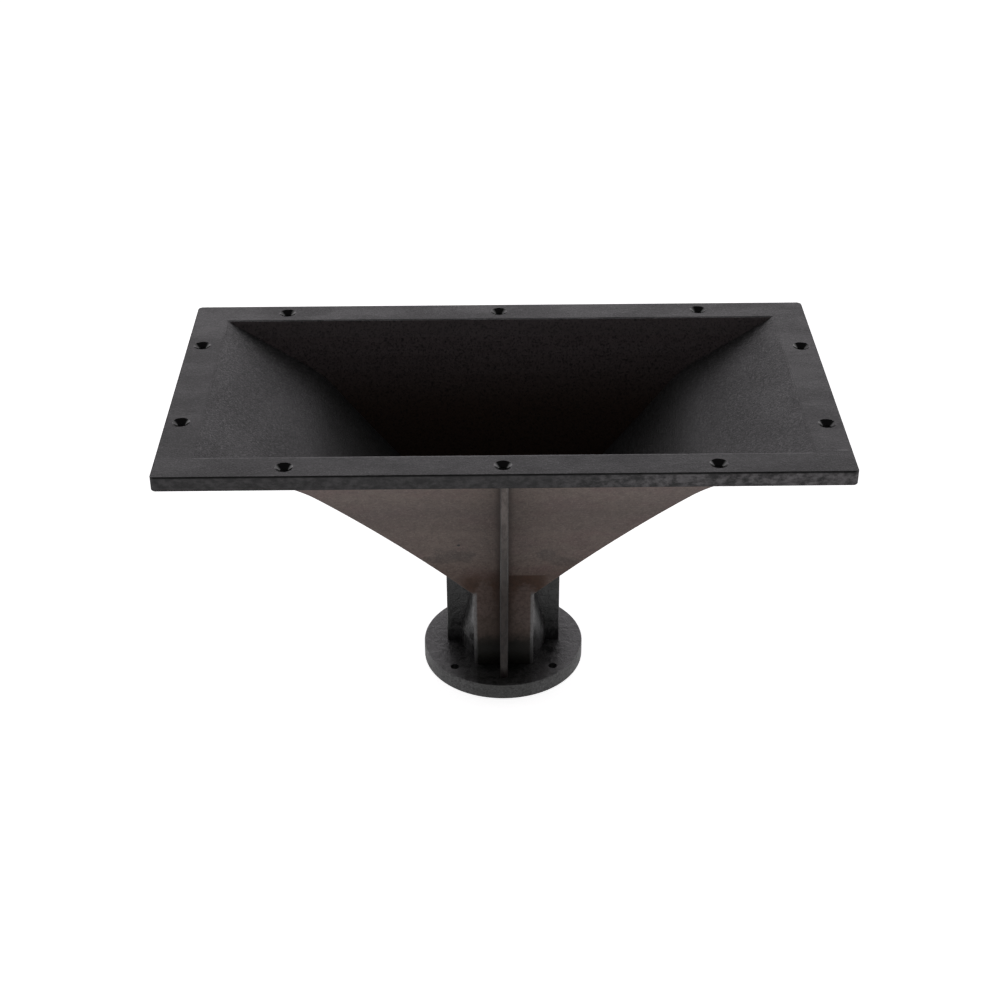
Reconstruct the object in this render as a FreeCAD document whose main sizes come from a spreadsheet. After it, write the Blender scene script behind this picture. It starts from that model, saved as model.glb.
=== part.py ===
import FreeCAD, Part
import math
import os
import re
import Sketcher
from FreeCAD import Placement, Rotation, Vector

# Rectangular flare (horn) for a compression driver with a 50 mm throat. It stands on its round
# throat flange. Millimetres; +Z is the sound axis, from the throat towards the mouth; X is the
# wide direction; the origin is the centre of the throat flange's outer face, at Z = 0.

# Driving dimensions. Each one becomes a cell of the sheet, under the same name.
DRIVING_SIZES = {
    # mouth flange
    "mouth_width": 450.0,
    "mouth_depth": 247.5,
    "mouth_corner": 3.5,
    "mouth_edge": 0.9,
    "flange_thickness": 10.5,
    "total_height": 229.0,
    "opening_width": 400.0,
    "opening_depth": 198.0,
    "opening_edge": 0.4,
    "opening_edge_width": 1.4,
    # countersunk screw holes of the mouth flange, which were drilled by hand and are uneven
    "screw_hole": 6.2,
    "screw_head": 12.0,
    "screw_cone_angle": 90.0,
    "screw_row_depth": 112.0,
    "screw_row_width": 214.2,
    "back_left_screw": -157.5,
    "back_right_screw": 146.7,
    "middle_screw": -1.0,
    "front_left_screw": -140.7,
    "front_right_screw": 136.7,
    "left_back_screw": 60.0,
    "left_front_screw": -52.2,
    "right_back_screw": 51.3,
    "right_front_screw": -61.5,
    # wide walls: a round flare about an axis along X, then a straight tongue down to the throat flange
    "flare_radius": 400.0,
    "flare_centre_height": 6.0,
    "wide_wall_thickness": 5.0,
    "tongue_width": 43.0,
    "tongue_foot": 33.7,
    "tongue_corner": 3.0,
    "wall_edge": 0.7,
    # narrow walls: a straight slope, a round knee, then a flatter slope up to the mouth
    "knee_reach": 131.5,
    "knee_height": 196.0,
    "knee_radius": 80.0,
    # throat neck: round at the throat flange, a flat-sided slot at the top
    "neck_top": 81.5,
    "round_to": 25.0,
    "slot_from": 68.0,
    "slot_width": 32.0,
    "neck_width": 43.4,
    "neck_round": 62.0,
    "neck_wall_behind_tongue": 1.7,
    "tongue_root": 15.0,
    # throat flange
    "throat_bore": 50.0,
    "disc_diameter": 118.0,
    "disc_thickness": 12.3,
    "disc_edge": 0.7,
    "bolt_circle": 101.6,
    "bolt_hole": 6.2,
    "bolt_count": 4,
    # ribs on the wide walls and fins beside the neck
    "rib_foot": 50.0,
    "rib_head": 104.0,
    "rib_thickness": 5.5,
    "rib_edge": 1.3,
    "fin_reach": 41.6,
    "fin_thickness": 5.5,
    "fin_edge": 0.8,
}

# Formulas for what follows from the driving dimensions.
FLANGE_UNDERSIDE = "(total_height - flange_thickness)"
FLARE_CENTRE_DEPTH = "(opening_depth / 2 + sqrt(flare_radius ^ 2 - (total_height - flare_centre_height) ^ 2))"
LOWER_SLOPE = "((knee_reach - slot_width / 2) / (knee_height - neck_top))"
UPPER_SLOPE = "((opening_width / 2 - knee_reach) / (total_height - knee_height))"
LOWER_GAP = "((neck_width - slot_width) / 2)"
NARROW_WALL_THICKNESS = f"({LOWER_GAP} / sqrt(1 + {LOWER_SLOPE} ^ 2))"
UPPER_GAP = f"({NARROW_WALL_THICKNESS} * sqrt(1 + {UPPER_SLOPE} ^ 2))"
OUTER_KNEE_DROP = f"(({UPPER_GAP} - {LOWER_GAP}) / ({UPPER_SLOPE} - {LOWER_SLOPE}))"
OUTER_KNEE = (
    f"knee_reach + {LOWER_GAP} - {LOWER_SLOPE} * {OUTER_KNEE_DROP}",
    f"knee_height - {OUTER_KNEE_DROP}",
)
INNER_TOP_REACH = f"(opening_width / 2 - {UPPER_SLOPE} * flange_thickness)"
OUTER_TOP_REACH = f"({INNER_TOP_REACH} + {UPPER_GAP})"
OUTER_KNEE_RADIUS = f"(knee_radius - {NARROW_WALL_THICKNESS})"
EDGE_HEIGHT = "(total_height - opening_edge)"


def flare_depth(height, thickness="0"):
    """Formula for a wide wall's distance from the XZ plane, at a height and through its thickness."""
    return (
        f"({FLARE_CENTRE_DEPTH} - sqrt((flare_radius - {thickness}) ^ 2"
        f" - ({height} - flare_centre_height) ^ 2))"
    )


INNER_TOP_DEPTH = flare_depth(FLANGE_UNDERSIDE)
OUTER_TOP_DEPTH = flare_depth(FLANGE_UNDERSIDE, "wide_wall_thickness")
INNER_FOOT_DEPTH = flare_depth("neck_top")
OUTER_FOOT_DEPTH = flare_depth("neck_top", "wide_wall_thickness")
# The mouth flange's opening: where the walls meet it, below its worn edge, and at its face.
OPENING_SECTIONS = (
    ("opening_below", FLANGE_UNDERSIDE, f"2 * {INNER_TOP_REACH}", f"2 * {INNER_TOP_DEPTH}"),
    (
        "opening_inside", EDGE_HEIGHT,
        f"opening_width - 2 * {UPPER_SLOPE} * opening_edge", f"2 * {flare_depth(EDGE_HEIGHT)}",
    ),
    (
        "opening_above", "total_height",
        "opening_width + 2 * opening_edge_width", "opening_depth + 2 * opening_edge_width",
    ),
)
TONGUE_TAPER = f"(({OUTER_FOOT_DEPTH} - tongue_foot) / (neck_top - disc_thickness))"


def slot_depth(height, thickness="0"):
    """Formula for the slot's half depth at a height, through the neck's wall; it tapers as the tongue does."""
    return f"({INNER_FOOT_DEPTH} + {thickness} - {TONGUE_TAPER} * (neck_top - {height}))"


doc = FreeCAD.newDocument("horn")
sheet = doc.addObject("Spreadsheet::Sheet", "Sizes")


def fill_sheet():
    """One row per driving dimension: its name, and its number under that alias."""
    for row, (alias, number) in enumerate(DRIVING_SIZES.items(), start=1):
        sheet.set(f"A{row}", alias)
        sheet.set(f"B{row}", str(number))
        sheet.setAlias(f"B{row}", alias)
    doc.recompute()


def bound(formula):
    """The formula with every driving dimension written as a reference to its cell."""
    def cell(word):
        return f"Sizes.{word[0]}" if word[0] in DRIVING_SIZES else word[0]
    return re.sub(r"[a-z_]+", cell, formula)


def size(formula):
    """The formula's present value."""
    return float(sheet.evalExpression(bound(formula)))


def new_body(name, turn=0.0):
    """An empty body, turned about the sound axis."""
    body = doc.addObject("PartDesign::Body", name)
    body.Label = name
    body.Placement = Placement(Vector(0, 0, 0), Rotation(Vector(0, 0, 1), turn))
    return body


def origin_feature(body, role):
    """One of the body's own planes or axes, by its role."""
    return next(feature for feature in body.Origin.OriginFeatures if feature.Role == role)


def new_sketch(body, role, name, lift=None):
    """A sketch on one of the body's own planes, raised by a formula where one is given."""
    sketch = body.newObject("Sketcher::SketchObject", name)
    sketch.AttachmentSupport = (origin_feature(body, role), "")
    sketch.MapMode = "FlatFace"
    if lift:
        sketch.setExpression("AttachmentOffset.Base.z", bound(lift))
    return sketch


def pin(sketch, element, end, across=None, up=None):
    """Hold a point of a sketch element at formulas for its two coordinates."""
    for kind, formula in (("DistanceX", across), ("DistanceY", up)):
        if formula is not None:
            number = sketch.addConstraint(Sketcher.Constraint(kind, -1, 1, element, end, size(formula)))
            sketch.setExpression(f"Constraints[{number}]", bound(formula))


def draw_arc(sketch, centre, start, end):
    """Arc of under half a turn about a centre; gives the element and its two ends in path order."""
    first, last = start - centre, end - centre
    anticlockwise = first.x * last.y > first.y * last.x
    if not anticlockwise:
        first, last = last, first
    begin, finish = math.atan2(first.y, first.x), math.atan2(last.y, last.x)
    if finish < begin:
        finish += 2 * math.pi
    circle = Part.Circle(centre, Vector(0, 0, 1), first.Length)
    element = sketch.addGeometry(Part.ArcOfCircle(circle, begin, finish), False)
    return (element, 1, 2) if anticlockwise else (element, 2, 1)


def draw_flare_arc(sketch, start, end):
    """Arc about the flare's centre line on the start point's side."""
    side = 1 if start.x > 0 else -1
    centre = Vector(side * size(FLARE_CENTRE_DEPTH), size("flare_centre_height"), 0)
    arc = draw_arc(sketch, centre, start, end)
    pin(sketch, arc[0], 3, f"{side} * {FLARE_CENTRE_DEPTH}", "flare_centre_height")
    return arc


def draw_knee(sketch, corner, radius, before, after):
    """Round knee at a corner, from where it leaves one straight edge to where it joins the next."""
    way_in = (corner - before).normalize()
    way_out = (after - corner).normalize()
    half_turn = way_in.getAngle(way_out) / 2
    trim = size(radius) * math.tan(half_turn)
    start, end = corner - way_in * trim, corner + way_out * trim
    centre = corner + (way_out - way_in).normalize() * (size(radius) / math.cos(half_turn))
    return start, end, draw_arc(sketch, centre, start, end)


def draw_outline(sketch, corners, arcs=(), knees=None):
    """Closed outline through corners given as pairs of formulas.

    An edge is straight, unless its number is in arcs: then it is an arc about the flare's centre
    line, and the height of its far corner alone settles where it stops. knees gives the corners
    that are rounded, each with a formula for its radius.
    """
    knees = knees or {}
    count = len(corners)
    points = [Vector(size(across), size(up), 0) for across, up in corners]
    leaving, reaching, knee_arcs = list(points), list(points), {}
    for number, radius in knees.items():
        before, after = points[number - 1], points[(number + 1) % count]
        reaching[number], leaving[number], knee_arcs[number] = draw_knee(
            sketch, points[number], radius, before, after
        )
    edges = []
    for number in range(count):
        start, end = leaving[number], reaching[(number + 1) % count]
        if number in arcs:
            edges.append(draw_flare_arc(sketch, start, end))
        else:
            edges.append((sketch.addGeometry(Part.LineSegment(start, end), False), 1, 2))
    for number, (across, up) in enumerate(corners):
        element, first, _ = edges[number]
        last_element, _, last = edges[number - 1]
        if number in knees:
            join_knee(sketch, knee_arcs[number], edges[number - 1], edges[number], knees[number])
            corner = sketch.addGeometry(Part.Point(points[number]), True)
            pin(sketch, corner, 1, across, up)
            sketch.addConstraint(Sketcher.Constraint("PointOnObject", corner, 1, last_element))
            sketch.addConstraint(Sketcher.Constraint("PointOnObject", corner, 1, element))
        else:
            after_arc = (number - 1) % count in arcs
            sketch.addConstraint(Sketcher.Constraint("Coincident", last_element, last, element, first))
            pin(sketch, element, first, None if after_arc else across, up)


def join_knee(sketch, arc, before, after, radius):
    """Make a knee's arc tangent to the straight edges at its ends, and bind its radius."""
    element, start, end = arc
    sketch.addConstraint(Sketcher.Constraint("Tangent", before[0], before[2], element, start))
    sketch.addConstraint(Sketcher.Constraint("Tangent", element, end, after[0], after[1]))
    number = sketch.addConstraint(Sketcher.Constraint("Radius", element, size(radius)))
    sketch.setExpression(f"Constraints[{number}]", bound(radius))


def draw_rectangle(sketch, width, depth):
    """Rectangle centred on the sound axis, from formulas for its two sides."""
    left, right = f"-({width}) / 2", f"({width}) / 2"
    front, back = f"-({depth}) / 2", f"({depth}) / 2"
    draw_outline(sketch, [(left, front), (right, front), (right, back), (left, back)])


def draw_circle(sketch, diameter, across=None, up=None):
    """Circle of a diameter formula, on the sound axis unless formulas for its centre are given."""
    centre = Vector(size(across) if across else 0, size(up) if up else 0, 0)
    element = sketch.addGeometry(Part.Circle(centre, Vector(0, 0, 1), size(diameter) / 2), False)
    number = sketch.addConstraint(Sketcher.Constraint("Diameter", element, size(diameter)))
    sketch.setExpression(f"Constraints[{number}]", bound(diameter))
    if across:
        pin(sketch, element, 3, across, up)
    else:
        sketch.addConstraint(Sketcher.Constraint("Coincident", element, 3, -1, 1))


def pad(body, sketch, length, symmetric=False):
    """Pad of a sketch, up from its plane or both ways from it."""
    feature = body.newObject("PartDesign::Pad", f"{body.Name}_pad")
    feature.Profile = sketch
    if symmetric:
        feature.SideType = "Symmetric"
    feature.setExpression("Length", bound(length))
    doc.recompute()
    return feature


def pocket_through(body, sketch):
    """Pocket right through the body, both ways from the sketch; it has to take material away."""
    before = body.Shape.Volume
    feature = body.newObject("PartDesign::Pocket", f"{sketch.Name}_pocket")
    feature.Profile = sketch
    feature.SideType = "Symmetric"
    feature.Type = "ThroughAll"
    doc.recompute()
    if body.Shape.Volume >= before:
        raise RuntimeError(f"{feature.Name} cut nothing")
    return feature


def loft(body, kind, sections, name):
    """Straight-sided loft through sections, added to the body or cut from it."""
    feature = body.newObject(kind, name)
    feature.Profile = sections[0]
    feature.Sections = sections[1:]
    feature.Ruled = True
    doc.recompute()
    return feature


def round_edges(body, name, radius, chosen):
    """Round the body's edges that pass a test."""
    tip = body.Tip
    names = [f"Edge{number}" for number, edge in enumerate(tip.Shape.Edges, start=1) if chosen(edge)]
    if not names:
        raise RuntimeError(f"{name} found no edge")
    feature = body.newObject("PartDesign::Fillet", name)
    feature.Base = (tip, names)
    feature.setExpression("Radius", bound(radius))
    doc.recompute()


def runs_along(edge, direction):
    """True for a straight edge along a direction."""
    if not isinstance(edge.Curve, Part.Line):
        return False
    return abs(abs(edge.Curve.Direction.dot(direction)) - 1) < 1e-6


def lies_at(edge, *distances):
    """True where the middle of the edge is at the given (axis, distance) pairs, either side."""
    middle = middle_of(edge)
    return all(abs(abs(getattr(middle, axis)) - distance) < 0.05 for axis, distance in distances)


def middle_of(edge):
    """The middle point of an edge."""
    return edge.valueAt((edge.FirstParameter + edge.LastParameter) / 2)


def lies_beyond(edge, reach):
    """True where the middle of the edge is further from the YZ plane than a reach."""
    return abs(middle_of(edge).x) > reach + 0.05


def lies_on_wide_wall(edge, lower, upper):
    """True where the middle of the edge is on a wide wall's outer face, between two heights."""
    middle = middle_of(edge)
    if not size(lower) < middle.z < size(upper) - 0.05:
        return False
    if middle.z > size("neck_top"):
        depth = size(flare_depth(str(middle.z), "wide_wall_thickness"))
    else:
        depth = size(f"tongue_foot + {TONGUE_TAPER} * ({middle.z} - disc_thickness)")
    return abs(abs(middle.y) - depth) < 0.1


def neck_sections(body, outside, heights=("slot_from", "neck_top")):
    """Sections of the neck: round at the throat flange, then the slot at each of the heights.

    Outside, the neck stays round up to round_to; inside, it starts to change at the throat flange.
    """
    sections = []
    for height in ("disc_thickness", "round_to") if outside else ("disc_thickness",):
        circle = new_sketch(body, "XY_Plane", f"{body.Name}_round_at_{height}", height)
        draw_circle(circle, "neck_round" if outside else "throat_bore")
        sections.append(circle)
    width = "neck_width" if outside else "slot_width"
    thickness = "neck_wall_behind_tongue" if outside else "0"
    for height in heights:
        slot = new_sketch(body, "XY_Plane", f"{body.Name}_{height}", height)
        draw_rectangle(slot, width, f"2 * {slot_depth(height, thickness)}")
        sections.append(slot)
    return sections


def cut_neck_away(body, heights=("slot_from", "neck_top")):
    """Cut the neck's outer shape from a piece that is seated on it."""
    before = body.Shape.Volume
    sections = neck_sections(body, outside=True, heights=heights)
    loft(body, "PartDesign::SubtractiveLoft", sections, f"{body.Name}_seat")
    if body.Shape.Volume >= before:
        raise RuntimeError(f"the neck cut nothing from {body.Name}")


def make_mouth_flange():
    """Rectangular frame with a bevelled opening and ten countersunk screw holes."""
    body = new_body("mouth_flange")
    outline = new_sketch(body, "XY_Plane", "mouth_outline", FLANGE_UNDERSIDE)
    draw_rectangle(outline, "mouth_width", "mouth_depth")
    pad(body, outline, "flange_thickness")
    round_edges(body, "mouth_corners", "mouth_corner", lambda edge: runs_along(edge, Vector(0, 0, 1)))
    half_width = size("mouth_width / 2")
    half_depth = size("mouth_depth / 2")
    round_edges(
        body, "mouth_edges", "mouth_edge",
        lambda edge: lies_at(edge, ("x", half_width)) or lies_at(edge, ("y", half_depth)),
    )
    openings = []
    for name, height, width, depth in OPENING_SECTIONS:
        openings.append(new_sketch(body, "XY_Plane", name, height))
        draw_rectangle(openings[-1], width, depth)
    loft(body, "PartDesign::SubtractiveLoft", openings, "opening")
    screws = new_sketch(body, "XY_Plane", "screws", "total_height")
    for across, up in screw_places():
        draw_circle(screws, "screw_hole", across, up)
    doc.recompute()
    holes = body.newObject("PartDesign::Hole", "screw_holes")
    holes.Profile = screws
    holes.DepthType = "ThroughAll"
    holes.setExpression("Diameter", bound("screw_hole"))
    holes.HoleCutType = "Countersink"
    holes.HoleCutCustomValues = True
    holes.setExpression("HoleCutDiameter", bound("screw_head"))
    holes.setExpression("HoleCutCountersinkAngle", bound("screw_cone_angle"))
    doc.recompute()
    return body


def screw_places():
    """Formulas for the centres of the screw holes: the long sides, then the short sides."""
    places = [(across, "screw_row_depth") for across in ("back_left_screw", "middle_screw", "back_right_screw")]
    places += [(across, "-screw_row_depth") for across in ("front_left_screw", "middle_screw", "front_right_screw")]
    places += [("-screw_row_width", up) for up in ("left_back_screw", "left_front_screw")]
    places += [("screw_row_width", up) for up in ("right_back_screw", "right_front_screw")]
    return places


def make_wide_wall(name, turn):
    """Curved trapezoid of one long side, with a straight tongue that stands on the throat flange."""
    body = new_body(name, turn)
    section = new_sketch(body, "YZ_Plane", f"{name}_section")
    corners = [
        (INNER_TOP_DEPTH, FLANGE_UNDERSIDE),
        (INNER_FOOT_DEPTH, "neck_top"),
        (slot_depth("neck_top", "neck_wall_behind_tongue"), "neck_top"),
        (slot_depth("slot_from", "neck_wall_behind_tongue"), "slot_from"),
        ("tongue_root", "slot_from"),
        ("tongue_root", "disc_thickness"),
        ("tongue_foot", "disc_thickness"),
        (OUTER_FOOT_DEPTH, "neck_top"),
        (OUTER_TOP_DEPTH, FLANGE_UNDERSIDE),
    ]
    draw_outline(section, corners, arcs=(0, 7))
    pad(body, section, f"2 * {OUTER_TOP_REACH}", symmetric=True)
    trim = new_sketch(body, "XZ_Plane", f"{name}_trim")
    tongue_top = f"neck_top - (neck_width - tongue_width) / 2 / {LOWER_SLOPE}"
    for side in ("", "-"):
        beyond = f"{side}({OUTER_TOP_REACH} + wide_wall_thickness)"
        draw_outline(trim, [
            (f"{side}tongue_width / 2", "disc_thickness - flange_thickness"),
            (f"{side}tongue_width / 2", tongue_top),
            (f"{side}({OUTER_KNEE[0]})", OUTER_KNEE[1]),
            (f"{side}{OUTER_TOP_REACH}", FLANGE_UNDERSIDE),
            (beyond, FLANGE_UNDERSIDE),
            (beyond, "disc_thickness - flange_thickness"),
        ], knees={2: OUTER_KNEE_RADIUS})
    pocket_through(body, trim)
    cut_neck_away(body, heights=("slot_from",))
    tongue_side = size("tongue_width / 2")
    round_edges(
        body, f"{name}_tongue_corners", "tongue_corner",
        lambda edge: lies_at(edge, ("x", tongue_side)) and lies_on_wide_wall(edge, "disc_thickness", "neck_top"),
    )
    round_edges(
        body, f"{name}_outline", "wall_edge",
        lambda edge: lies_beyond(edge, tongue_side) and lies_on_wide_wall(edge, "slot_from", FLANGE_UNDERSIDE),
    )
    return body


def make_narrow_wall(name, turn):
    """Bent panel of one short side, held between the two wide walls."""
    body = new_body(name, turn)
    profile = new_sketch(body, "XZ_Plane", f"{name}_profile")
    draw_outline(profile, [
        ("slot_width / 2", "neck_top"),
        ("knee_reach", "knee_height"),
        (INNER_TOP_REACH, FLANGE_UNDERSIDE),
        (OUTER_TOP_REACH, FLANGE_UNDERSIDE),
        OUTER_KNEE,
        ("neck_width / 2", "neck_top"),
    ], knees={1: "knee_radius", 4: OUTER_KNEE_RADIUS})
    pad(body, profile, "mouth_depth", symmetric=True)
    ends = new_sketch(body, "YZ_Plane", f"{name}_ends")
    for side in ("", "-"):
        draw_outline(ends, [
            (f"{side}{INNER_TOP_DEPTH}", FLANGE_UNDERSIDE),
            (f"{side}{INNER_FOOT_DEPTH}", "neck_top"),
            (f"{side}mouth_depth", "neck_top"),
            (f"{side}mouth_depth", FLANGE_UNDERSIDE),
        ], arcs=(0,))
    pocket_through(body, ends)
    return body


def make_throat_neck():
    """Tube from the round throat to the flat slot at the foot of the bell."""
    body = new_body("throat_neck")
    loft(body, "PartDesign::AdditiveLoft", neck_sections(body, outside=True), "neck_outside")
    before = body.Shape.Volume
    loft(body, "PartDesign::SubtractiveLoft", neck_sections(body, outside=False), "neck_inside")
    if body.Shape.Volume >= before:
        raise RuntimeError("the neck's inside cut nothing")
    return body


def make_throat_flange():
    """Disc with the throat's bore and four bolt holes on the driver's bolt circle."""
    body = new_body("throat_flange")
    disc = new_sketch(body, "XY_Plane", "disc")
    draw_circle(disc, "disc_diameter")
    draw_circle(disc, "throat_bore")
    pad(body, disc, "disc_thickness")
    rim = size("disc_diameter / 2")
    round_edges(
        body, "disc_edges", "disc_edge",
        lambda edge: isinstance(edge.Curve, Part.Circle) and abs(edge.Curve.Radius - rim) < 0.01,
    )
    hole = new_sketch(body, "XY_Plane", "bolt_hole_place")
    draw_circle(hole, "bolt_hole", "bolt_circle / 2 * sqrt(0.5)", "bolt_circle / 2 * sqrt(0.5)")
    first = pocket_through(body, hole)
    pattern = body.newObject("PartDesign::PolarPattern", "bolt_holes")
    pattern.Originals = [first]
    pattern.Axis = (origin_feature(body, "Z_Axis"), [""])
    pattern.Angle = 360
    pattern.setExpression("Occurrences", bound("bolt_count"))
    body.Tip = pattern
    doc.recompute()
    return body


def make_rib(name, turn):
    """Upright rib down the middle of a wide wall, from the mouth flange to the throat flange."""
    body = new_body(name, turn)
    section = new_sketch(body, "YZ_Plane", f"{name}_section")
    draw_outline(section, [
        (OUTER_TOP_DEPTH, FLANGE_UNDERSIDE),
        (OUTER_FOOT_DEPTH, "neck_top"),
        ("tongue_foot", "disc_thickness"),
        ("rib_foot", "disc_thickness"),
        ("rib_head", FLANGE_UNDERSIDE),
    ], arcs=(0,))
    pad(body, section, "rib_thickness", symmetric=True)
    middle = (size("(rib_foot + rib_head) / 2"), size(f"(disc_thickness + {FLANGE_UNDERSIDE}) / 2"))
    round_edges(
        body, f"{name}_edges", "rib_edge",
        lambda edge: lies_at(edge, ("y", middle[0]), ("z", middle[1])),
    )
    return body


def make_fin(name, turn):
    """Upright fin beside the neck, under a narrow wall."""
    body = new_body(name, turn)
    fin_top = f"neck_top + (fin_reach - neck_width / 2) / {LOWER_SLOPE}"
    profile = new_sketch(body, "XZ_Plane", f"{name}_profile")
    draw_outline(profile, [
        ("slot_width / 2", "disc_thickness"),
        ("fin_reach", "disc_thickness"),
        ("fin_reach", fin_top),
        ("neck_width / 2", "neck_top"),
        ("slot_width / 2", "neck_top"),
    ])
    pad(body, profile, "fin_thickness", symmetric=True)
    reach = size("fin_reach")
    round_edges(
        body, f"{name}_edges", "fin_edge",
        lambda edge: runs_along(edge, Vector(0, 0, 1)) and lies_at(edge, ("x", reach)),
    )
    cut_neck_away(body)
    return body


def make_everything():
    """All the pieces; what the object has twice is made once and turned half way round."""
    bodies = [make_mouth_flange(), make_throat_flange(), make_throat_neck()]
    pairs = (
        (make_wide_wall, "back_wall", "front_wall"),
        (make_narrow_wall, "right_wall", "left_wall"),
        (make_rib, "back_rib", "front_rib"),
        (make_fin, "right_fin", "left_fin"),
    )
    for make, plain, turned in pairs:
        bodies.append(make(plain, 0.0))
        bodies.append(make(turned, 180.0))
    return bodies


def check_and_write(bodies):
    """Stop at any failed object or bad solid, then write one STEP file per piece."""
    for item in doc.Objects:
        if "Invalid" in item.State or "Error" in item.State:
            raise RuntimeError(f"{item.Label} failed: {item.State}")
    for body in bodies:
        shape = body.Shape
        if shape.isNull() or not shape.isValid() or len(shape.Solids) != 1:
            raise RuntimeError(f"{body.Label} is not one good solid")
    os.makedirs("parts", exist_ok=True)
    for body in bodies:
        body.Shape.exportStep(f"parts/{body.Label}.step")
        box = body.Shape.BoundBox
        print(f"{body.Label}: {body.Shape.Volume / 1000:.1f} cm3, {box}")


fill_sheet()
check_and_write(make_everything())
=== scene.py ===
import math

import bpy
from mathutils import Matrix, Vector


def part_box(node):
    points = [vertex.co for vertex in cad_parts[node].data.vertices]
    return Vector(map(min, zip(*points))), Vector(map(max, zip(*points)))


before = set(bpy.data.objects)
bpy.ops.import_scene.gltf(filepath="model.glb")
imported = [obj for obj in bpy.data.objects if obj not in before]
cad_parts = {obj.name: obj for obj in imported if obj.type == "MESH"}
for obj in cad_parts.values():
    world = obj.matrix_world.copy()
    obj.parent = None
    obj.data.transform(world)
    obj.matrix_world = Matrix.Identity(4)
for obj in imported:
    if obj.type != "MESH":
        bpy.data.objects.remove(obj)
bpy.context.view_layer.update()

# Metres, in the CAD's frame: +Z from the throat to the mouth, -Y towards the viewer.
MM = 0.001
DISC_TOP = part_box("throat_flange")[1].z
RIB_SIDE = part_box("front_rib")[1].x

# Where a material changes: the mouth flange's flat face without its rounded edge, the bevel round
# the bell, the middle of the flange's rim, the top of the wide walls' stain, and the ring of the
# throat flange between its bore and its rim, which holds the bolt holes.
FLAT_FACE = (448.2 * MM, 245.7 * MM)
BELL_EDGE = (400.4 * MM, 198.4 * MM)
RIM_MIDDLE = 223.6 * MM
STAIN_LINE = 101.2 * MM
BOLT_RING = (26 * MM, 58 * MM)

# Surroundings: bright low down and at the back, dark overhead and behind the viewer.
DARK_SIDE = (0.0, -0.3, 0.954)
DARK_FROM, DARK_FULL = 0.05, 0.56
SKY_BRIGHT, SKY_DARK = 1.35, 0.08


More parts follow.
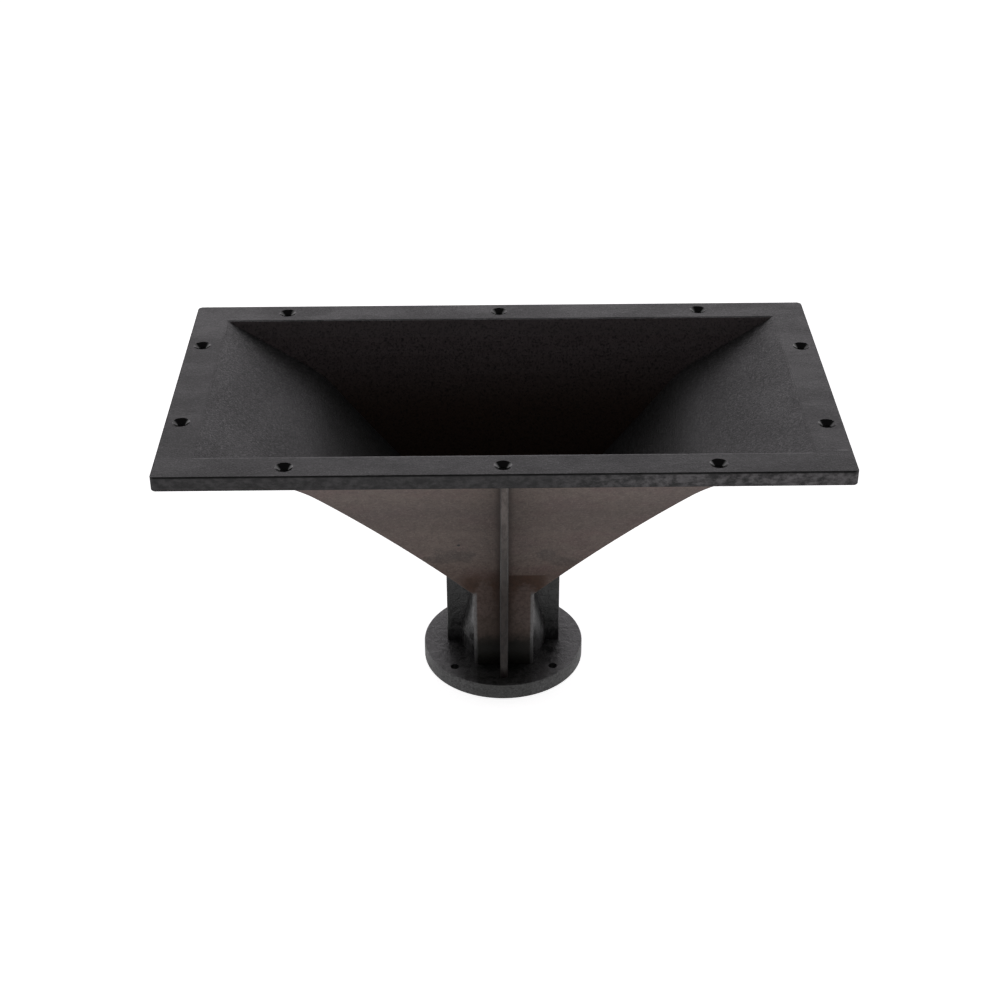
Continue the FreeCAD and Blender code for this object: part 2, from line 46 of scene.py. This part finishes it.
class Graph:
    """A material's node tree, with short calls that each add a node and give its output."""

    def __init__(self, name):
        self.material = bpy.data.materials.new(name)
        self.material.use_nodes = True
        self.tree = self.material.node_tree
        self.tree.nodes.clear()
        self.place = self.tree.nodes.new("ShaderNodeTexCoord").outputs["Object"]
        self.x, self.y, self.z = self.node("ShaderNodeSeparateXYZ", {0: self.place}).outputs
        normal = self.tree.nodes.new("ShaderNodeNewGeometry").outputs["True Normal"]
        facing = self.node("ShaderNodeSeparateXYZ", {0: normal}).outputs
        self.facing_x, self.facing_y, self.facing_z = facing

    def node(self, kind, inputs, **settings):
        """A node with its settings and its inputs, which are numbers, colours or other outputs."""
        node = self.tree.nodes.new(kind)
        for key, value in settings.items():
            setattr(node, key, value)
        for key, value in inputs.items():
            if isinstance(value, bpy.types.NodeSocket):
                self.tree.links.new(value, node.inputs[key])
            else:
                node.inputs[key].default_value = value
        return node

    def math(self, operation, *values):
        return self.node("ShaderNodeMath", dict(enumerate(values)), operation=operation).outputs[0]

    def times(self, *values):
        result = values[0]
        for value in values[1:]:
            result = self.math("MULTIPLY", result, value)
        return result

    def plus(self, *values):
        result = values[0]
        for value in values[1:]:
            result = self.math("ADD", result, value)
        return result

    def step(self, value, start, end, low=0.0, high=1.0):
        """Smooth change from low to high while the value goes from start to end."""
        return self.node(
            "ShaderNodeMapRange", {0: value, 1: start, 2: end, 3: low, 4: high},
            interpolation_type="SMOOTHSTEP",
        ).outputs[0]

    def band(self, value, middle, half, soft):
        """One within half of the middle, fading to nought over soft."""
        return self.step(self.away(value, middle), half, half + soft, 1.0, 0.0)

    def away(self, value, middle):
        """Distance of a value from a middle."""
        return self.math("ABSOLUTE", self.math("SUBTRACT", value, middle))

    def blot(self, upward, x, height, wide, high, ragged=0.0):
        """A soft patch about a place, over x and a second axis, with a ragged edge."""
        across = self.math("DIVIDE", self.math("SUBTRACT", self.x, x), wide / 2)
        up = self.math("DIVIDE", self.math("SUBTRACT", upward, height), high / 2)
        reach = self.math("SQRT", self.plus(self.times(across, across), self.times(up, up)))
        if ragged:
            edge = self.math("SUBTRACT", self.noise(9 * MM, 3.0, 0.6, lean=x), 0.5)
            reach = self.plus(reach, self.times(edge, ragged))
        return self.step(reach, 0.75, 1.25, 1.0, 0.0)

    def noise(self, lump, detail=2.0, rough=0.5, stretch=(1, 1, 1), lean=0.0, warp=0.0):
        """Noise from 0 to 1 whose lumps are about the given size, longer where stretched."""
        scale = tuple(1 / part for part in stretch)
        shift = (lean, 0.4 * lean, 0.7 * lean)
        moved = self.node(
            "ShaderNodeMapping", {"Vector": self.place, "Scale": scale, "Location": shift}
        ).outputs[0]
        return self.node(
            "ShaderNodeTexNoise",
            {"Vector": moved, "Scale": 1 / lump, "Detail": detail, "Roughness": rough, "Distortion": warp},
        ).outputs["Fac"]

    def mix(self, factor, first, second):
        """Blend of two colours."""
        inputs = {"Factor": factor, 6: first, 7: second}
        return self.node("ShaderNodeMix", inputs, data_type="RGBA").outputs[2]

    def blend(self, factor, first, second):
        """Blend of two numbers."""
        return self.node("ShaderNodeMix", {"Factor": factor, 2: first, 3: second}).outputs[0]

    def finish(self, color, roughness, height, specular=0.5, glow=0.0):
        """Shader with its colour, its roughness and a bump whose height is in millimetres."""
        bump = self.node("ShaderNodeBump", {"Strength": 1.0, "Distance": MM, "Height": height})
        shader = self.node(
            "ShaderNodeBsdfPrincipled",
            {
                "Base Color": color, "Roughness": roughness, "Normal": bump.outputs[0],
                "Specular IOR Level": specular, "IOR": 1.5,
                "Emission Color": (1, 1, 1, 1), "Emission Strength": glow,
            },
        )
        self.node("ShaderNodeOutputMaterial", {"Surface": shader.outputs[0]})
        return self.material


def grey(value):
    """A neutral colour."""
    return (value, value, value, 1)


def speckled(g, color, pale, dark, lump):
    """The colour with pale and dark specks in two sizes, as a grained mould leaves them."""
    for scale, seed in ((1.0, 9.0), (2.3, 17.0)):
        light = g.step(g.noise(scale * lump, 2.0, 0.6, lean=seed), 0.50, 0.68)
        shade = g.step(g.noise(1.2 * scale * lump, 2.0, 0.6, lean=seed + 4.0), 0.50, 0.68)
        color = g.mix(g.times(light, 1 / scale, pale), color, grey(0.11))
        color = g.mix(g.times(shade, 1 / scale, dark), color, grey(0.0008))
    return color


def inside(g, width, depth):
    """One within a rectangle of the given size about the sound axis, seen from above."""
    return g.times(
        g.step(g.math("ABSOLUTE", g.x), width / 2, width / 2 + 0.3 * MM, 1.0, 0.0),
        g.step(g.math("ABSOLUTE", g.y), depth / 2, depth / 2 + 0.3 * MM, 1.0, 0.0),
    )


def narrow_wall_look(g):
    """Satin charcoal with coarse specks, for the narrow walls and the bevel above them."""
    cloud = g.step(g.noise(45 * MM, 4.0, 0.55, lean=3.0), 0.35, 0.65)
    # The pale specks grow denser towards the mouth: painted light, the wall lighter near the mouth.
    pale = g.step(g.z, 185 * MM, 218 * MM, 0.20, 0.65)
    color = speckled(g, g.mix(cloud, grey(0.003), grey(0.006)), pale, 1.0, 1.3 * MM)
    grain = g.noise(1.5 * MM, 3.0, 0.65, lean=40.0)
    rough = g.plus(g.step(cloud, 0.0, 1.0, 0.38, 0.43), g.step(grain, 0.35, 0.65, 0.0, 0.17))
    return color, rough, g.plus(g.times(grain, 0.30), g.times(cloud, 0.17))


def wide_wall_look(g):
    """Dark umber with black specks, for the wide walls' inner faces and the bevel above them."""
    streak = g.step(g.noise(5 * MM, 3.0, 0.6, stretch=(12, 12, 1), lean=12.0), 0.3, 0.8)
    color = g.mix(streak, (0.086, 0.071, 0.071, 1), (0.070, 0.055, 0.054, 1))
    # Painted shade: the colour turns a darker brown deeper in the bell.
    color = g.mix(g.step(g.z, 214 * MM, 165 * MM), color, (0.038, 0.021, 0.012, 1))
    color = speckled(g, color, 0.08, 0.75, 1.2 * MM)
    grain = g.noise(1.4 * MM, 3.0, 0.6, lean=50.0)
    return color, g.plus(0.42, g.times(grain, 0.1)), g.times(grain, 0.16)


def side_wall_plastic():
    """Narrow walls."""
    g = Graph("side_wall_plastic")
    return g.finish(*narrow_wall_look(g))


def flange_face_look(g):
    """The flange's face: fine grain, soft blotches, and a few scuffs and nicks."""
    smear = g.step(g.noise(30 * MM, 5.0, 0.62, stretch=(1.8, 1, 1), lean=6.0), 0.33, 0.67)
    color = g.mix(smear, grey(0.0045), grey(0.0105))
    color = speckled(g, color, 0.34, 0.9, 1.3 * MM)
    for x, y, wide, high, tone in (
        (219, -96.6, 9, 1.6, 0.16), (70, 116.5, 6, 1.6, 0.0), (221.6, -54, 2.4, 3.4, 0.0),
        (-62, -108, 26, 3, 0.03), (209, 6, 13, 18, 0.0005), (-214, 86, 14, 9, 0.03),
        (212, -30, 10, 12, 0.03),
    ):
        mark = g.blot(g.y, x * MM, y * MM, wide * MM, high * MM, ragged=1.2)
        color = g.mix(g.times(mark, 0.8), color, grey(tone))
    grain = g.noise(1.1 * MM, 3.0, 0.6)
    rough = g.plus(g.step(smear, 0.0, 1.0, 0.34, 0.44), g.step(grain, 0.35, 0.65, 0.0, 0.12))
    return color, rough, g.times(g.plus(grain, smear), 0.14)


def rim_look(g):
    """The flange's rims: mottled, with painted shade along both edges and a painted sheen that makes them
    greyer towards the right of the front.
    """
    blotch = g.step(g.noise(3.2 * MM, 5.0, 0.68, stretch=(1.6, 1, 1), lean=7.0), 0.34, 0.70)
    # The pale mottle grows towards the right of the front: a painted sheen on top of the mottle.
    mottle_and_sheen = g.times(blotch, g.step(g.x, 10 * MM, 110 * MM, 0.3, 0.9))
    color = g.mix(mottle_and_sheen, (0.0042, 0.0040, 0.0043, 1), (0.074, 0.068, 0.072, 1))
    # Dark along both edges of the rim: painted shade.
    edges = g.step(g.away(g.z, RIM_MIDDLE), 4.0 * MM, 4.7 * MM)
    color = g.mix(edges, color, grey(0.0008))
    return color, g.plus(0.74, g.times(mottle_and_sheen, -0.34), g.times(edges, 0.2)), g.times(blotch, 0.10)


def flange_plastic():
    """Mouth flange: its face, its rims, the bevel round its opening and its screw holes."""
    g = Graph("flange_plastic")
    in_frame = inside(g, *FLAT_FACE)
    bell = inside(g, *BELL_EDGE)
    upright = g.step(g.math("ABSOLUTE", g.facing_z), 0.2, 0.4, 1.0, 0.0)
    sloping = g.step(g.math("ABSOLUTE", g.facing_z), 0.9, 0.8)
    wide = g.step(g.math("ABSOLUTE", g.facing_y), 0.4, 0.6)
    hole = g.times(sloping, in_frame, g.math("SUBTRACT", 1.0, bell))
    look = flange_face_look(g)
    inner = wide_wall_look(g)
    for mask, other in (
        (g.math("SUBTRACT", 1.0, in_frame), rim_look(g)),
        (bell, narrow_wall_look(g)),
        # The bevel above the wide walls is 15% darker: painted shade.
        (g.times(bell, wide), (g.mix(0.15, inner[0], grey(0.0)), inner[1], inner[2])),
        # The screw holes' cones and bores are near black: painted shade in the holes.
        (hole, (grey(0.0005), g.blend(upright, 0.16, 0.9), 0.0)),
    ):
        color = g.mix(mask, look[0], other[0])
        look = color, g.blend(mask, look[1], other[1]), g.blend(mask, look[2], other[2])
    return g.finish(*look)


def throat_plastic():
    """Throat flange, neck and fins: smoother charcoal with mottling and smears, a painted highlight next to
    the tongues and painted shade.
    """
    g = Graph("throat_plastic")
    grain = g.noise(1.0 * MM, 3.0, 0.6)
    smear = g.step(g.noise(7 * MM, 5.0, 0.65, lean=6.0, warp=0.8), 0.38, 0.62)
    color = g.mix(smear, grey(0.014), grey(0.048))
    above = g.step(g.z, DISC_TOP + 0.1 * MM, DISC_TOP + 0.4 * MM)
    color = g.mix(above, color, g.mix(smear, grey(0.001), grey(0.013)))
    color = speckled(g, color, g.blend(above, 0.4, 0.2), 0.9, 1.3 * MM)
    radius = g.math("SQRT", g.plus(g.times(g.x, g.x), g.times(g.y, g.y)))
    side = g.math("ABSOLUTE", g.x)
    # Pale mottled patches on the throat flange's top, more of them towards its rim on both sides: painted
    # light where the flange's sides are lit.
    lit_patches = g.times(
        g.math("SUBTRACT", 1.0, above), g.step(g.facing_z, 0.5, 0.8), g.step(radius, 40 * MM, 56 * MM),
        g.step(side, 14 * MM, 44 * MM), g.step(smear, 0.0, 1.0, 0.5, 0.9),
    )
    color = g.mix(lit_patches, color, grey(0.17))
    # The fins are darker than the neck.
    fin = g.times(above, g.step(g.math("ABSOLUTE", g.y), 5 * MM, 4 * MM), g.step(side, 30 * MM, 34 * MM))
    color = g.mix(g.times(fin, g.step(smear, 0.0, 1.0, 0.85, 0.3)), color, grey(0.0008))
    # A dark patch before the tongues' feet: partly stain, partly painted shadow and reflection of the
    # tongue.
    before = g.times(
        g.step(side, 17 * MM, 24 * MM, 1.0, 0.0), g.step(g.math("ABSOLUTE", g.y), 28 * MM, 34 * MM)
    )
    color = g.mix(g.times(before, 0.3), color, (0.007, 0.0085, 0.0045, 1))
    # The neck next to the tongues is painted pale: a painted highlight.
    wear_and_highlight = g.times(
        g.step(side, 21.2 * MM, 21.5 * MM), g.step(side, 26 * MM, 23 * MM),
        g.step(g.z, 30 * MM, 48 * MM), g.step(g.math("ABSOLUTE", g.y), 18 * MM, 24 * MM),
    )
    color = g.mix(g.times(wear_and_highlight, g.step(smear, 0.0, 1.0, 0.6, 1.0)), color, grey(0.10))
    rim = g.times(g.math("SUBTRACT", 1.0, above), g.step(g.math("ABSOLUTE", g.facing_z), 0.4, 0.2))
    # The bolt holes' walls are painted near black: painted shade inside the holes.
    bolt_hole = g.times(
        rim, g.step(radius, BOLT_RING[0], BOLT_RING[0] + 1 * MM),
        g.step(radius, BOLT_RING[1], BOLT_RING[1] - 1 * MM),
    )
    color = g.mix(bolt_hole, color, grey(0.0005))
    rough = g.plus(
        g.step(smear, 0.0, 1.0, 0.27, 0.43), g.times(grain, 0.1), g.times(rim, 0.25), g.times(fin, 0.05)
    )
    return g.finish(color, rough, g.times(g.plus(grain, g.times(smear, 1.5)), 0.08))


def rib_color(g):
    """The ribs: as pale as the wall at the mouth, darker downwards."""
    worn = g.step(g.noise(3 * MM, 5.0, 0.7, stretch=(1, 1, 3), lean=21.0), 0.38, 0.64)
    pale = g.mix(worn, (0.092, 0.077, 0.070, 1), (0.046, 0.036, 0.032, 1))
    dull = g.mix(worn, (0.027, 0.021, 0.018, 1), (0.015, 0.011, 0.009, 1))
    lower_part = g.mix(worn, (0.022, 0.018, 0.016, 1), (0.008, 0.006, 0.006, 1))
    color = g.mix(g.step(g.z, 195 * MM, 120 * MM), pale, dull)
    color = g.mix(g.step(g.z, 110 * MM, 40 * MM), color, lower_part)
    # The rib's rounded edges and sides are darker: painted shade.
    edge = g.step(g.math("ABSOLUTE", g.x), 1.7 * MM, 2.5 * MM)
    return g.mix(g.times(edge, 0.55), color, grey(0.004))


def outer_wall_color(g, cloud, ragged):
    """Warm brown-grey with faint bands, patches, flecks and a spot."""
    color = g.mix(g.step(cloud, 0.32, 0.68), (0.062, 0.042, 0.0345, 1), (0.083, 0.062, 0.052, 1))
    pink = g.step(g.noise(15 * MM, 3.0, 0.6, stretch=(2, 2, 1), lean=13.0), 0.46, 0.64)
    color = g.mix(g.times(pink, 0.6), color, (0.070, 0.041, 0.038, 1))
    for middle, half, amount in ((171, 5, 0.28), (158, 7, 0.30), (134, 3, 0.08)):
        level = g.band(g.plus(g.z, ragged), middle * MM, half * MM, 9 * MM)
        color = g.mix(g.times(level, amount), color, (0.030, 0.019, 0.016, 1))
    for x, z, wide, high in ((-37, 120, 30, 13), (-30, 122, 22, 10), (30, 122, 12, 12), (41, 114, 24, 9)):
        mark = g.blot(g.z, x * MM, z * MM, wide * MM, high * MM, ragged=2.4)
        color = g.mix(g.times(mark, 0.68), color, (0.034, 0.024, 0.020, 1))
    for lump, seed, amount, tone in (
        (1.6, 30.0, 0.30, (0.14, 0.11, 0.095, 1)), (2.0, 33.0, 0.42, (0.020, 0.013, 0.011, 1)),
        (6.0, 36.0, 0.20, (0.115, 0.090, 0.078, 1)), (7.0, 39.0, 0.26, (0.036, 0.021, 0.018, 1)),
    ):
        fleck = g.step(g.noise(lump * MM, 3.0, 0.65, lean=seed), 0.48, 0.68)
        color = g.mix(g.times(fleck, amount), color, tone)
    spot = g.blot(g.z, -31.3 * MM, 132.3 * MM, 2.2 * MM, 2.2 * MM)
    return g.mix(spot, color, grey(0.004))


def stained_and_shaded(g, color, ragged, side):
    """The outer wall's colour with the stains of its lower part and of the tongue, with painted shadow next
    to the rib and painted highlights on the tongue's corners.
    """
    # Under a level line the plastic is darker; right of the rib the line is sharp.
    left = g.step(g.x, 2 * MM, -4 * MM)
    soft = g.step(g.plus(g.z, g.times(ragged, 1.6)), 108 * MM, 88 * MM)
    line = g.blend(left, g.step(g.z, STAIN_LINE, STAIN_LINE - 1.6 * MM), soft)
    under = g.times(line, g.step(side, 34 * MM, 24 * MM))
    color = g.mix(g.times(under, 0.85), color, (0.052, 0.030, 0.0215, 1))
    color = g.mix(g.times(under, g.step(g.z, 82 * MM, 58 * MM), 0.7), color, (0.055, 0.042, 0.036, 1))
    rust = g.times(under, g.step(g.plus(g.z, ragged), 78 * MM, 92 * MM))
    color = g.mix(g.times(rust, 0.75), color, (0.032, 0.0125, 0.005, 1))
    for x, z, wide, high in ((15, 68, 18, 38), (-13, 76, 14, 36)):
        wear_and_highlight = g.blot(g.z, x * MM, z * MM, wide * MM, high * MM, ragged=2.0)
        color = g.mix(g.times(wear_and_highlight, 0.62), color, (0.078, 0.057, 0.051, 1))
    # Painted shadow next to the rib, wider on one side lower down; the tongue is near black towards its
    # foot.
    rib_shadow = g.step(side, RIB_SIDE, RIB_SIDE + 5 * MM, 1.0, 0.0)
    color = g.mix(g.times(rib_shadow, 0.6), color, (0.014, 0.006, 0.003, 1))
    low_left = g.times(
        g.step(g.x, -19 * MM, -7 * MM), g.step(g.x, 1 * MM, -1 * MM), g.step(g.z, 112 * MM, 96 * MM)
    )
    color = g.mix(g.times(low_left, 0.22), color, (0.020, 0.0095, 0.0045, 1))
    mottled = g.step(g.noise(2.6 * MM, 4.0, 0.65, lean=60.0), 0.4, 0.65)
    color = g.mix(g.times(under, mottled, 0.42), color, (0.013, 0.008, 0.005, 1))
    foot = g.step(g.plus(g.z, g.times(ragged, 1.6)), 47 * MM, 31 * MM)
    color = g.mix(g.times(foot, 0.93), color, (0.0025, 0.003, 0.0018, 1))
    # The tongue's corners are pale: partly wear, partly a painted highlight on the rounded corners.
    corner = g.times(
        g.step(side, 18.6 * MM, 19.8 * MM), g.step(g.math("ABSOLUTE", g.facing_x), 0.995, 0.98),
        g.step(g.z, 85 * MM, 80 * MM), g.step(mottled, 0.0, 1.0, 0.95, 0.6),
    )
    return g.mix(corner, color, g.mix(g.step(g.z, 26 * MM, 46 * MM), grey(0.030), grey(0.095)))


def panel_plastic():
    """Wide walls and ribs: warm brown-grey outside with stains near the throat, dark umber inside."""
    g = Graph("panel_plastic")
    cloud = g.noise(20 * MM, 4.0, 0.6, stretch=(1.6, 1.6, 1), lean=5.0)
    ragged = g.times(g.math("SUBTRACT", g.noise(8 * MM, 4.0, 0.65, lean=1.0), 0.5), 10 * MM)
    side = g.math("ABSOLUTE", g.x)
    color = stained_and_shaded(g, outer_wall_color(g, cloud, ragged), ragged, side)
    on_rib = g.step(side, RIB_SIDE + 0.1 * MM, RIB_SIDE + 0.2 * MM, 1.0, 0.0)
    color = g.mix(on_rib, color, rib_color(g))
    grain = g.noise(1.3 * MM, 3.0, 0.6)
    lower_part = g.times(g.step(g.z, 125 * MM, 96 * MM), g.step(g.z, 20 * MM, 36 * MM))
    rough = g.plus(g.step(cloud, 0.3, 0.7, 0.38, 0.48), g.times(grain, 0.1), g.times(lower_part, 0.34))
    height = g.times(g.plus(grain, cloud), 0.13)
    inner = wide_wall_look(g)
    inward = g.step(g.times(g.math("SIGN", g.y), g.facing_y), -0.1, -0.3)
    return g.finish(
        g.mix(inward, color, inner[0]), g.blend(inward, rough, inner[1]), g.blend(inward, height, inner[2]),
        specular=0.25,
    )


def dress(material, *nodes):
    """Give CAD nodes a material."""
    for name in nodes:
        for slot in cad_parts[name].material_slots:
            slot.material = material


def make_camera():
    """The photograph's viewpoint: a little left of the middle, looking down at the mouth."""
    yaw, pitch, roll = 0.010, 0.554, 0.004
    forward = Vector((math.sin(yaw) * math.cos(pitch), math.cos(yaw) * math.cos(pitch), -math.sin(pitch)))
    level = Vector((math.cos(yaw), -math.sin(yaw), 0))
    down = forward.cross(level)
    right = math.cos(roll) * level + math.sin(roll) * down
    up = math.sin(roll) * level - math.cos(roll) * down
    camera = bpy.data.objects.new("camera", bpy.data.cameras.new("camera"))
    camera.data.sensor_width = 36.0
    camera.data.lens = 65.67
    camera.data.clip_start, camera.data.clip_end = 0.05, 50.0
    camera.rotation_mode = "QUATERNION"
    camera.rotation_quaternion = Matrix((right, up, -forward)).transposed().to_quaternion()
    camera.location = (-0.013087, -1.112441, 0.821908)
    bpy.context.scene.collection.objects.link(camera)
    bpy.context.scene.camera = camera


def make_light(name, place, target, width, height, watts):
    """Rectangular soft box that faces a target."""
    light = bpy.data.lights.new(name, "AREA")
    light.shape = "RECTANGLE"
    light.size, light.size_y = width, height
    light.energy = watts
    holder = bpy.data.objects.new(name, light)
    holder.location = place
    holder.rotation_mode = "QUATERNION"
    holder.rotation_quaternion = (Vector(target) - Vector(place)).to_track_quat("-Z", "Y")
    bpy.context.scene.collection.objects.link(holder)


def make_world():
    """White surroundings with a dark side overhead and behind the viewer; the camera sees plain white."""
    world = bpy.data.worlds.new("studio")
    world.use_nodes = True
    tree = world.node_tree
    background = tree.nodes["Background"]
    direction = tree.nodes.new("ShaderNodeTexCoord").outputs["Generated"]
    towards = tree.nodes.new("ShaderNodeVectorMath")
    towards.operation = "DOT_PRODUCT"
    towards.inputs[1].default_value = DARK_SIDE
    tree.links.new(direction, towards.inputs[0])
    fade = tree.nodes.new("ShaderNodeMapRange")
    fade.interpolation_type = "SMOOTHSTEP"
    for socket, value in zip(fade.inputs[1:5], (DARK_FROM, DARK_FULL, SKY_BRIGHT, SKY_DARK)):
        socket.default_value = value
    tree.links.new(towards.outputs["Value"], fade.inputs[0])
    ray = tree.nodes.new("ShaderNodeLightPath")
    seen = tree.nodes.new("ShaderNodeMix")
    seen.inputs[3].default_value = 1.06
    tree.links.new(ray.outputs["Is Camera Ray"], seen.inputs[0])
    tree.links.new(fade.outputs[0], seen.inputs[2])
    tree.links.new(seen.outputs[0], background.inputs["Strength"])
    background.inputs["Color"].default_value = (1, 0.96, 1, 1)
    bpy.context.scene.world = world


def make_floor():
    """Pale floor, large enough to fill every view."""
    half = 6.0
    corners = [(-half, -half, 0), (half, -half, 0), (half, half, 0), (-half, half, 0)]
    mesh = bpy.data.meshes.new("floor")
    mesh.from_pydata(corners, [], [(0, 1, 2, 3)])
    floor = bpy.data.objects.new("floor", mesh)
    bpy.context.scene.collection.objects.link(floor)
    g = Graph("floor_paper")
    tone = g.noise(400 * MM, 2.0, 0.5)
    color = g.mix(tone, grey(0.86), grey(0.88))
    floor.data.materials.append(g.finish(color, 0.8, g.times(tone, 0.1), specular=0.1, glow=0.85))


dress(flange_plastic(), "mouth_flange")
dress(side_wall_plastic(), "left_wall", "right_wall")
dress(throat_plastic(), "throat_flange", "throat_neck", "left_fin", "right_fin")
dress(panel_plastic(), "front_wall", "back_wall", "front_rib", "back_rib")
make_camera()
make_world()
make_floor()
make_light("left_box", (-1.2, 0.6, 0.9), (0, 0, 0.15), 0.9, 0.9, 2.0)
make_light("right_box", (1.2, 0.6, 0.9), (0, 0, 0.15), 0.9, 0.9, 2.0)
make_light("top_box", (0, 0.2, 1.8), (0, 0, 0.1), 1.2, 0.9, 0.5)
bpy.context.scene.view_settings.view_transform = "Standard"
